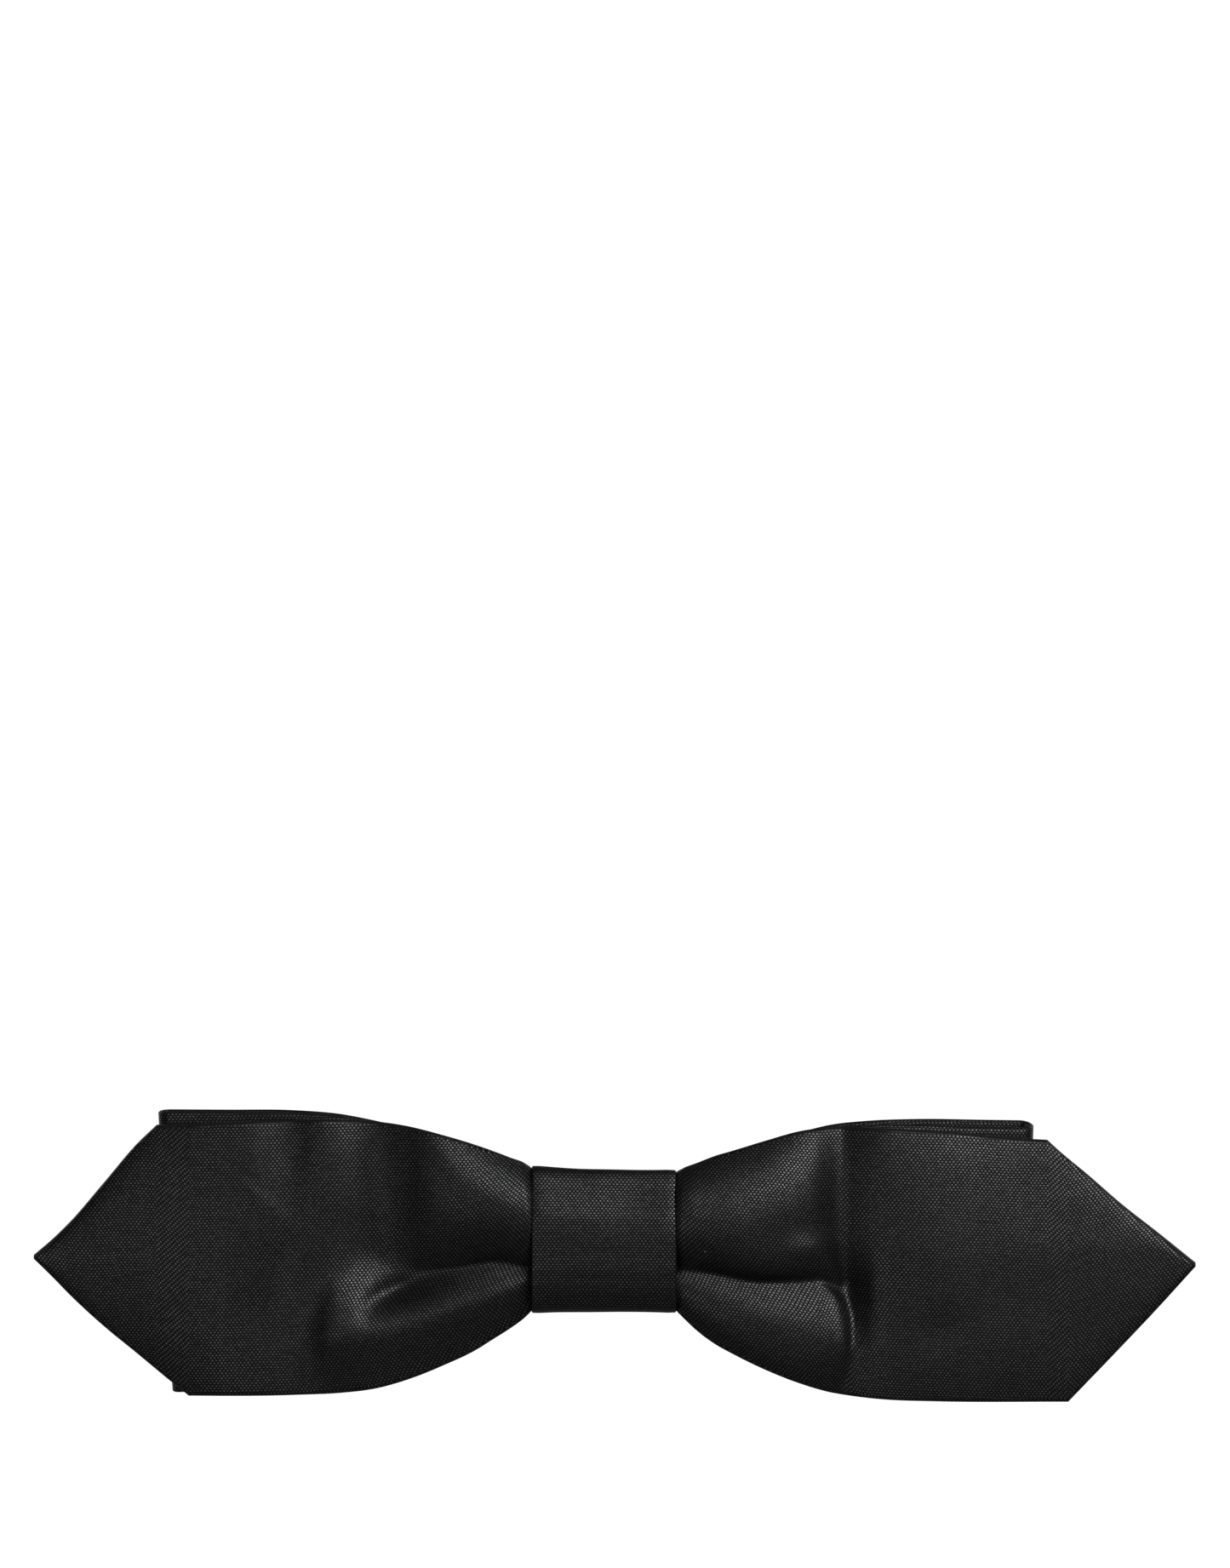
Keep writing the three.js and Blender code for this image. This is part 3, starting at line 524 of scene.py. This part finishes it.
def silk(name):
    """Black silk that follows the UV map Cloth."""
    material, tree, shader = plain_material(name)
    flat = tree.nodes.new("ShaderNodeUVMap")
    flat.uv_map = "Cloth"
    weave = tree.nodes.new("ShaderNodeGroup")
    weave.node_tree = bpy.data.node_groups.get("Plain weave") or plain_weave()
    weave.inputs["Across pitch"].default_value = YARN_ACROSS
    weave.inputs["Along pitch"].default_value = YARN_ALONG
    tree.links.new(flat.outputs[0], weave.inputs["Cloth"])
    place = tree.nodes.new("ShaderNodeTexCoord")
    dust = tree.nodes.new("ShaderNodeGroup")
    dust.node_tree = bpy.data.node_groups.get("Lint") or lint()
    dust.inputs["Speck"].default_value = 0.035
    tree.links.new(place.outputs["Object"], dust.inputs["Place"])
    # Painted highlight and shade: where a yarn passes over, its colour is painted lighter, varied from yarn
    # to yarn, and the hollows keep the painted shade.
    painted_glint_mask = math_node(tree, "MULTIPLY", weave.outputs["Over"],
                       math_node(tree, "ADD", math_node(tree, "MULTIPLY", weave.outputs["Shade"], 1.1), 0.35))
    cloth = mix_colour(tree, painted_glint_mask, SILK_HOLLOW_PAINTED_SHADE, SILK_YARN_PAINTED_GLINT)
    dusty = mix_colour(tree, dust.outputs["Mask"], cloth, LINT_GREY)
    tree.links.new(dusty, shader.inputs["Base Color"])
    rough = math_node(tree, "SUBTRACT", 0.52, math_node(tree, "MULTIPLY", weave.outputs["Over"], 0.14))
    tree.links.new(rough, shader.inputs["Roughness"])
    relief(tree, shader, weave.outputs["Height"], strength=0.5, depth=0.00005)
    uneven = math_node(tree, "ADD", math_node(tree, "MULTIPLY", weave.outputs["Shade"], 1.3), 0.3)
    crown = math_node(tree, "POWER", weave.outputs["Over"], 1.8)
    gloss = math_node(tree, "MULTIPLY", crown, uneven, clamp=True)
    # The gloss fades where the cloth turns away from the eye.
    turned = tree.nodes.new("ShaderNodeLayerWeight")
    turned.inputs["Blend"].default_value = 0.5
    away_from_eye = math_node(tree, "POWER", turned.outputs["Facing"], 2.0)
    facing = math_node(tree, "SUBTRACT", 1.0, away_from_eye, clamp=True)
    tree.links.new(math_node(tree, "MULTIPLY", gloss, facing), shader.inputs["Coat Weight"])
    shader.inputs["Coat Roughness"].default_value = 0.43
    shader.inputs["Coat IOR"].default_value = 1.9
    shader.inputs["Specular IOR Level"].default_value = 0.07
    return material


tie_silk = silk("tie_silk")
blade.data.materials.append(tie_silk)
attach(blade, "bow")
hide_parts("blade_front_cloth", "blade_interlining", "blade_back_cloth")

# ------------------------------------------------------------------------------------------
# The loop: a long band of the same silk, lined with itself, bent back at both ends so that it
# makes the square wings behind the blade. Its ends are folded flat; it is pinched in the middle.

LOOP_THICK = 1.0
LOOP_REAR_Y = -1.85
LOOP_FOLD_RADIUS = 1.0
LOOP_RIM = 0.3
LOOP_ROWS = 64
LOOP_ENDS = {-1: (49.2, 0.8), 1: (47.7, 0.55)}  # middle of the fold, and how far its top leans out
LOOP_WAYS = {
    -1: {
        "top": [
            (0, 4.7), (7, 5.0), (8.6, 6.6), (14.2, 10.0), (21.8, 12.4), (25.6, 13.3), (29.5, 14.05),
            (35, 14.5), (42, 14.55), (50, 14.6),
        ],
        "bottom": [
            (0, -4.7), (7, -5.0), (8.6, -6.4), (14.2, -11.4), (21.8, -14.9), (29.5, -16.4), (38, -16.8),
            (50, -17.2),
        ],
    },
    1: {
        "top": [
            (0, 4.7), (7, 5.0), (8.6, 6.4), (14.3, 9.6), (21.9, 12.0), (25.7, 12.9), (29.6, 13.3),
            (35, 13.5), (43, 13.4), (50, 13.3),
        ],
        "bottom": [
            (0, -4.7), (7, -5.0), (8.6, -6.4), (14.3, -11.6), (21.9, -15.1), (29.5, -16.9), (38, -17.3),
            (50, -17.4),
        ],
    },
}


def loop_line():
    """The band's middle line from above, once round: place, outward way, front share and side."""
    line = []
    for side in (1, -1):
        end, _ = LOOP_ENDS[side]
        radius = LOOP_FOLD_RADIUS
        reach = end - radius - LOOP_THICK / 2
        out = np.linspace(0, reach, 90)
        gape = [(0, 1.6), (8, 1.7), (14, 3.0), (22, 3.6), (34, 3.3), (42, 2.4), (reach, 2 * radius)]
        gape = through(out, gape)
        front = [(a, LOOP_REAR_Y - g, 0, -1, 1.0) for a, g in zip(out, gape)]
        fold = [
            (
                reach + radius * math.sin(t), LOOP_REAR_Y - radius - radius * math.cos(t),
                math.sin(t), -math.cos(t), (1 + math.cos(t)) / 2,
            )
            for t in np.linspace(0, math.pi, 18)[1:-1]
        ]
        rear = [(a, LOOP_REAR_Y, 0, 1, 0.0) for a in out[::-1]]
        walk = [(side * x, y, side * nx, ny, share, side) for x, y, nx, ny, share in front + fold + rear]
        line += walk if side > 0 else walk[::-1]
    seen, kept = set(), []
    for point in line:
        key = (round(point[0], 4), round(point[1], 4))
        if key not in seen:
            seen.add(key)
            kept.append(point)
    return kept


def loop_rings(rows, rim_count=5):
    """One ring round the band's section at each place of its line, leaning out at the folded ends."""
    rings = []
    out, deep = rim(rim_count)
    for x, y, nx, ny, share, side in loop_line():
        away = abs(x)
        drop = 0.75 * share * np.clip((away - 20) / 20, 0, 1) if side > 0 else 0.15 * share
        top = float(through(away, LOOP_WAYS[side]["top"])) - drop
        bottom = float(through(away, LOOP_WAYS[side]["bottom"])) + drop * 0.3
        w = np.linspace(-1, 1, rows)
        z = (top + bottom) / 2 + w * ((top - bottom) / 2 - LOOP_RIM)
        lean = LOOP_ENDS[side][1] * np.clip((away - 34) / 14, 0, 1) ** 1.5
        sway = side * lean * w
        ripple = soft_ripple(np.full(rows, x), z, 8 + (share > 0.5), 21, 0.06)
        ripple = ripple * np.clip((away - 9) / 8, 0, 1)
        half = LOOP_THICK / 2
        outer = np.stack([x + sway + nx * (half + ripple), y + ny * (half + ripple), z], 1)
        inner = np.stack([x + sway - nx * (half - ripple), y - ny * (half - ripple), z], 1)
        lift = np.stack([np.zeros(rim_count), np.zeros(rim_count), out * LOOP_RIM], 1)
        top_rim = outer[-1] + (inner[-1] - outer[-1]) * deep[:, None] + lift
        low_rim = (outer[0] + (inner[0] - outer[0]) * deep[:, None] - lift)[::-1]
        rings.append(np.vstack([outer, top_rim, inner[::-1], low_rim]))
    return np.array(rings)


loop_shape = loop_rings(LOOP_ROWS)
wrapped = np.concatenate([loop_shape, loop_shape[:1]], 0)
run = np.linalg.norm(np.diff(wrapped[:, :, :2], axis=0), axis=2)
loop_along = np.vstack([np.zeros((1, run.shape[1])), np.cumsum(run, 0)])
loop_along = np.hstack([loop_along, loop_along[:, :1]])
loop_across = cut_size(wrapped, LOOP_ROWS // 2)
loop_band = cloth_skin("loop_band", loop_shape, loop_along, loop_across, close_path=True)
loop_band.data.materials.append(tie_silk)
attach(loop_band, "bow")
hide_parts("loop_cloth", "loop_interlining")

# ------------------------------------------------------------------------------------------
# The wrap: a short strip of the silk with both long edges folded under. It goes once round the
# gathered cloth and the waist of the clip, and its end is lapped over its start at the back.

WRAP_WIDTH = 16.3
WRAP_THICK = 1.0
WRAP_LAP = 7.0
WRAP_RIM = 0.22
WRAP_STEPS = 230
WRAP_ROUND = [
    # Place from front to rear, then height, of the strip's outer face, once round from the back.
    (1.0, 0.0), (0.95, 3.2), (0.4, 5.6), (-1.2, 7.3), (-3.6, 8.0), (-5.9, 8.15), (-7.7, 8.12),
    (-8.5, 7.9), (-8.95, 7.2), (-9.3, 6.2), (-9.85, 4.7), (-10.4, 2.9), (-10.6, 1.2), (-10.62, -1.5),
    (-10.58, -3.8), (-10.0, -6.4), (-9.25, -7.6), (-7.8, -8.1), (-5.2, -8.1), (-2.8, -7.9),
    (-0.7, -7.0), (0.55, -5.4), (0.95, -3.0),
]


def wrap_line(count):
    """The strip's outer face from its hidden start, once round and over the lap to its folded end."""
    loop = np.array(WRAP_ROUND + WRAP_ROUND[:1], float)
    place = np.concatenate([[0], np.cumsum(np.linalg.norm(np.diff(loop, axis=0), axis=1))])
    three = np.concatenate([place[:-1] - place[-1], place[:-1], place + place[-1]])
    points = np.vstack([loop[:-1], loop[:-1], loop])
    girth = place[-1]
    at = np.linspace(-WRAP_LAP * 0.6, girth + WRAP_LAP * 0.4, count)
    y = through(at, np.stack([three, points[:, 0]], 1))
    z = through(at, np.stack([three, points[:, 1]], 1))
    way = np.stack([np.gradient(y, at), np.gradient(z, at)], 1)
    way /= np.linalg.norm(way, axis=1)[:, None]
    out = np.stack([way[:, 1], -way[:, 0]], 1)
    step_up = np.clip((at - (girth - WRAP_LAP * 0.6) + 3) / 3, 0, 1)
    rise = (WRAP_THICK + 0.12) * step_up**2 * (3 - 2 * step_up)
    return at, y + out[:, 0] * rise, z + out[:, 1] * rise, out


def wrap_rings(columns=70, rim_count=6):
    """One ring round the strip's section at each place of its line, with the knot's small creases."""
    at, y, z, out = wrap_line(WRAP_STEPS)
    edge, deep = rim(rim_count)
    half = WRAP_WIDTH / 2
    x = np.linspace(-half + WRAP_RIM, half - WRAP_RIM, columns)
    rings = []
    for s, yy, zz, (oy, oz) in zip(at, y, z, out):
        # The top edge of the knot dips to the right, and the strip is drawn in a little at its middle.
        dip = -0.03 * x * np.clip(zz / 6, 0, 1)
        drawn_in = 0.22 * (1 - (x / half) ** 2) * np.clip(abs(zz) / 6 - 0.4, 0, 1)
        slack = soft_ripple(x, np.full(columns, s), 12, 9, 0.04)
        crease = -0.03 * np.exp(-(((zz + 4.25 + 0.03 * x) / 0.5) ** 2)) * (yy < -8)
        roll = -0.06 * np.clip((np.abs(x) - 6.9) / 0.9, 0, 1) ** 2
        push = dip - drawn_in + slack + crease + roll
        face = np.stack([x, yy + oy * push, zz + oz * push], 1)
        under = face - np.array([0, oy, oz]) * WRAP_THICK
        side = np.stack([edge * WRAP_RIM, np.zeros(rim_count), np.zeros(rim_count)], 1)
        right = face[-1] + (under[-1] - face[-1]) * deep[:, None] + side
        left = (face[0] + (under[0] - face[0]) * deep[:, None] - side)[::-1]
        rings.append(np.vstack([face, right, under[::-1], left]))
    return at, np.array(rings)


wrap_at, wrap_shape = wrap_rings()
wrap_shape = wrap_shape[:, ::-1]
around = wrap_shape.shape[1] + 1
wrap_up = np.repeat(wrap_at[:, None], around, 1)
wrap_side = cut_size(wrap_shape, around // 4)
wrap = cloth_skin("wrap", wrap_shape, wrap_side, wrap_up)
wrap.data.materials.append(tie_silk)
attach(wrap, "bow")
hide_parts("wrap_cloth", "wrap_interlining")

# ------------------------------------------------------------------------------------------
# Thread: the winding that holds the pleats, inside the knot, and the slip stitches that close the
# wrap over its lap at the back. Both are waxed black sewing thread.

STITCH_COUNT = 8
STITCH_SPAN = 13.4  # from the first stitch to the last, across the wrap
STITCH_OUT = (2.1, -0.55)  # place front to rear, and height from the lap's edge, where the thread comes out
STITCH_IN = (1.0, 0.85)  # and where it goes in
THREAD_RADIUS = 0.15
# Painted shade in the grooves of the twist and painted light on its ridges.
THREAD_GROOVE_PAINTED_SHADE = (0.004, 0.004, 0.004, 1)
THREAD_RIDGE_PAINTED_LIGHT = (0.02, 0.02, 0.021, 1)


def thread_material():
    material, tree, shader = plain_material("waxed_thread")
    place = tree.nodes.new("ShaderNodeTexCoord")
    twist = tree.nodes.new("ShaderNodeTexWave")
    twist.bands_direction = "DIAGONAL"
    twist.inputs["Scale"].default_value = 900
    twist.inputs["Distortion"].default_value = 0.6
    tree.links.new(place.outputs["Object"], twist.inputs["Vector"])
    # The twist's bands are painted darker in its grooves and lighter on its ridges, as painted shade and
    # light, over the same bands as its relief.
    colour = mix_colour(tree, twist.outputs["Fac"], THREAD_GROOVE_PAINTED_SHADE, THREAD_RIDGE_PAINTED_LIGHT)
    tree.links.new(colour, shader.inputs["Base Color"])
    shader.inputs["Roughness"].default_value = 0.42
    relief(tree, shader, twist.outputs["Fac"], strength=0.6, depth=0.00003)
    return material


def round_wire(name, points, radius, sides=10, fine=6):
    """A closed round wire or thread through points in mm, evenly swept, with domed ends."""
    points = np.array(points, float)
    knots = np.concatenate([[0], np.cumsum(np.linalg.norm(np.diff(points, axis=0), axis=1))])
    at = np.linspace(0, knots[-1], (len(points) - 1) * fine + 1)
    path = np.stack([through(at, np.stack([knots, points[:, n]], 1)) for n in range(3)], 1)
    way = np.gradient(path, axis=0)
    way /= np.linalg.norm(way, axis=1)[:, None]
    side = np.cross(way[0], (0.0, 0.3, 1.0))
    rings, turn = [], np.linspace(0, 2 * math.pi, sides, endpoint=False)
    for n in range(len(path)):
        side = side - way[n] * side.dot(way[n])
        side /= np.linalg.norm(side)
        up = np.cross(way[n], side)
        ring = side[None] * np.cos(turn)[:, None] + up[None] * np.sin(turn)[:, None]
        dome = [(-1.0, 0.25), (-0.7, 0.75)] if n == 0 else []
        dome += [(0.0, 1.0)]
        dome += [(0.7, 0.75), (1.0, 0.25)] if n == len(path) - 1 else []
        for ahead, size in dome:
            rings.append(path[n] + way[n] * ahead * radius + ring * radius * size)
    rings = np.array(rings)[:, ::-1]
    blank = np.zeros((len(rings), sides + 1))
    return cloth_skin(name, rings, blank, blank)


thread = thread_material()
rear_at = int(np.argmax(wrap_at))
lap_edge = wrap_shape[rear_at].mean(0)
stitch_line = []
for n in range(STITCH_COUNT * 2):
    x = STITCH_SPAN * (n / (STITCH_COUNT * 2 - 1) - 0.5)
    y, up = STITCH_OUT if n % 2 else STITCH_IN
    stitch_line.append((x, y, lap_edge[2] + up))
stitches = round_wire("slip_stitches", stitch_line, THREAD_RADIUS, sides=8, fine=8)
stitches.data.materials.append(thread)
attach(stitches, "bow")
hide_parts("wrap_stitches")
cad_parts["gather_thread"].data.materials.clear()
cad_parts["gather_thread"].data.materials.append(thread)

# ------------------------------------------------------------------------------------------
# The clip: a stamped plate with four ears, two toothed jaws and their riveted pins, all of
# nickel-plated sheet steel, lightly scratched where the jaws are pressed.

NICKEL_DULL = (0.52, 0.51, 0.49, 1)
NICKEL_BRIGHT = (0.72, 0.71, 0.69, 1)
STAMPED_EDGE = 0.00009  # metres that a stamped edge is rounded by


def nickel():
    material, tree, shader = plain_material("nickel_plate")
    place = tree.nodes.new("ShaderNodeTexCoord")
    cloud = tree.nodes.new("ShaderNodeTexNoise")
    cloud.inputs["Scale"].default_value = 260
    cloud.inputs["Detail"].default_value = 6
    tree.links.new(place.outputs["Object"], cloud.inputs["Vector"])
    colour = mix_colour(tree, cloud.outputs["Fac"], NICKEL_DULL, NICKEL_BRIGHT)
    tree.links.new(colour, shader.inputs["Base Color"])
    drag = tree.nodes.new("ShaderNodeMapping")
    drag.inputs["Scale"].default_value = (60, 1500, 1500)
    tree.links.new(place.outputs["Object"], drag.inputs["Vector"])
    brushed = tree.nodes.new("ShaderNodeTexNoise")
    brushed.inputs["Scale"].default_value = 3
    tree.links.new(drag.outputs[0], brushed.inputs["Vector"])
    rough = math_node(tree, "ADD", math_node(tree, "MULTIPLY", brushed.outputs["Fac"], 0.22), 0.16)
    tree.links.new(rough, shader.inputs["Roughness"])
    shader.inputs["Metallic"].default_value = 1
    relief(tree, shader, brushed.outputs["Fac"], strength=0.12, depth=0.00004)
    return material


clip_steel = nickel()
for name in ("clip_plate", "left_jaw", "right_jaw", "left_hinge_pin", "right_hinge_pin"):
    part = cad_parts[name]
    part.data.materials.clear()
    part.data.materials.append(clip_steel)
    soften = part.modifiers.new("rolled edges", "BEVEL")
    soften.width = STAMPED_EDGE
    soften.segments = 2
    soften.limit_method = "ANGLE"
    soften.angle_limit = math.radians(35)
    soften.harden_normals = True

# ------------------------------------------------------------------------------------------
# The springs: hard-drawn steel wire, wound into a coil round each pin. One straight leg lies on
# the plate and the other presses under the tab of the jaw. All sizes in mm.

COIL_RADIUS = 1.07
COIL_TURNS = 5
COIL_PITCH = 0.7
WIRE_RADIUS = 0.22
PIN_X, PIN_Y = 15.0, 2.0
LEG = 4.4
PLATE_LEG_Y = (0.34, 0.36)  # out on the plate, and close to the coil
TAB_LEG = [(0.35, 1.55), (0.68, 1.88), (1.0, 2.13)]  # share of the leg, then how far behind the pin
WIRE_DARK = (0.22, 0.22, 0.23, 1)
WIRE_LIGHT = (0.42, 0.42, 0.43, 1)


def spring_steel():
    material, tree, shader = plain_material("spring_wire")
    place = tree.nodes.new("ShaderNodeTexCoord")
    drawn = tree.nodes.new("ShaderNodeTexNoise")
    drawn.inputs["Scale"].default_value = 900
    tree.links.new(place.outputs["Object"], drawn.inputs["Vector"])
    colour = mix_colour(tree, drawn.outputs["Fac"], WIRE_DARK, WIRE_LIGHT)
    tree.links.new(colour, shader.inputs["Base Color"])
    shader.inputs["Metallic"].default_value = 1
    shader.inputs["Roughness"].default_value = 0.32
    return material


spring_wire = spring_steel()
for side, word in ((-1, "left"), (1, "right")):
    high = COIL_TURNS * COIL_PITCH
    far, near = PLATE_LEG_Y
    line = [(-LEG * n, y - PIN_Y, -high / 2) for n, y in ((1.0, far), (0.7, far), (0.4, near))]
    swing = COIL_TURNS * 2 * math.pi - math.pi * 0.9
    for n in range(COIL_TURNS * 14 + 1):
        turn = n / (COIL_TURNS * 14)
        angle = 1.5 * math.pi + swing * turn
        line.append((COIL_RADIUS * math.cos(angle), COIL_RADIUS * math.sin(angle), high * (turn - 0.5)))
    line += [(-LEG * n, y, high / 2) for n, y in TAB_LEG]
    line = [(side * (x + PIN_X), y + PIN_Y, side * z) for x, y, z in line]
    spring = round_wire(word + "_spring_coil", line, WIRE_RADIUS, sides=10, fine=3)
    spring.data.materials.append(spring_wire)
    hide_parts(word + "_jaw_spring")
    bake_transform(spring)

# ------------------------------------------------------------------------------------------
# The studio: a pale flat floor under a room that is white to the eye, soft light from above and the
# right, a weak fill from the left, and a long lens square to the bow. All sizes in metres.

FLOOR_HALF = 1.5
FLOOR_Z = -0.3
FLOOR_GLOW = (0.14, 0.14, 0.14, 1)
PAPER_DULL = (0.90, 0.90, 0.90, 1)
PAPER_BRIGHT = (0.94, 0.94, 0.94, 1)


def paper():
    """Pale paper that looks bright but throws little light back up under the bow."""
    material, tree, shader = plain_material("paper_floor")
    place = tree.nodes.new("ShaderNodeTexCoord")
    grain = tree.nodes.new("ShaderNodeTexNoise")
    grain.inputs["Scale"].default_value = 40
    tree.links.new(place.outputs["Object"], grain.inputs["Vector"])
    ray = tree.nodes.new("ShaderNodeLightPath")
    pale = mix_colour(tree, grain.outputs["Fac"], PAPER_DULL, PAPER_BRIGHT)
    glow = mix_colour(tree, ray.outputs["Is Camera Ray"], FLOOR_GLOW, pale)
    tree.links.new(glow, shader.inputs["Emission Color"])
    shader.inputs["Emission Strength"].default_value = 1
    shader.inputs["Base Color"].default_value = (0.05, 0.05, 0.05, 1)
    shader.inputs["Roughness"].default_value = 0.9
    return material


floor_mesh = bpy.data.meshes.new("floor")
corners = [(x * FLOOR_HALF, y * FLOOR_HALF, FLOOR_Z) for x, y in ((-1, -1), (1, -1), (1, 1), (-1, 1))]
floor_mesh.from_pydata(corners, [], [(0, 1, 2, 3)])
floor = bpy.data.objects.new("floor", floor_mesh)
bpy.context.scene.collection.objects.link(floor)
floor.data.materials.append(paper())


def lamp(name, place, size, power, spread):
    """A soft rectangle of light, unseen by the camera, that looks at the middle of the bow."""
    light = bpy.data.lights.new(name, "AREA")
    light.shape = "RECTANGLE"
    light.size, light.size_y = size
    light.energy = power
    light.spread = math.radians(spread)
    holder = bpy.data.objects.new(name, light)
    holder.location = place
    holder.visible_camera = False
    holder.rotation_euler = (-Vector(place)).to_track_quat("-Z", "Y").to_euler()
    bpy.context.scene.collection.objects.link(holder)


lamp("key_softbox", (0.4, -0.75, 0.5), (0.6, 0.5), 1.9, 90)
lamp("fill_softbox", (-0.5, -1.3, -0.1), (0.6, 0.6), 0.32, 60)
lamp("rear_softbox_left", (-1.0, 1.1, 0.35), (1.6, 1.6), 5, 120)
lamp("rear_softbox_right", (1.0, 1.1, 0.5), (1.6, 1.6), 5, 120)

# The room is white to the eye, and lights the bow only faintly.
world = bpy.data.worlds.new("studio")
bpy.context.scene.world = world
world.use_nodes = True
room = world.node_tree.nodes["Background"]
room.inputs["Color"].default_value = (1, 1, 1, 1)
ray = world.node_tree.nodes.new("ShaderNodeLightPath")
faint = math_node(world.node_tree, "MULTIPLY_ADD", ray.outputs["Is Camera Ray"], 0.99, 0.04)
world.node_tree.links.new(faint, room.inputs["Strength"])

SENSOR = 36  # mm
LENS_AWAY = 1.7
BOW_FACE = 0.009  # how far the face of the bow stands in front of zero
FRAME_HIGH = 0.17530314  # what the lens takes in from top to bottom, at the face of the bow
lens = bpy.data.cameras.new("camera")
lens.sensor_width = SENSOR
lens.sensor_fit = "AUTO"
lens.lens = SENSOR * (LENS_AWAY - BOW_FACE) / FRAME_HIGH
camera = bpy.data.objects.new("camera", lens)
camera.location = (0.00124, -LENS_AWAY, 0.0511)
camera.rotation_euler = (math.pi / 2, 0, 0)
bpy.context.scene.collection.objects.link(camera)
bpy.context.scene.camera = camera
bpy.context.scene.view_settings.view_transform = "Standard"
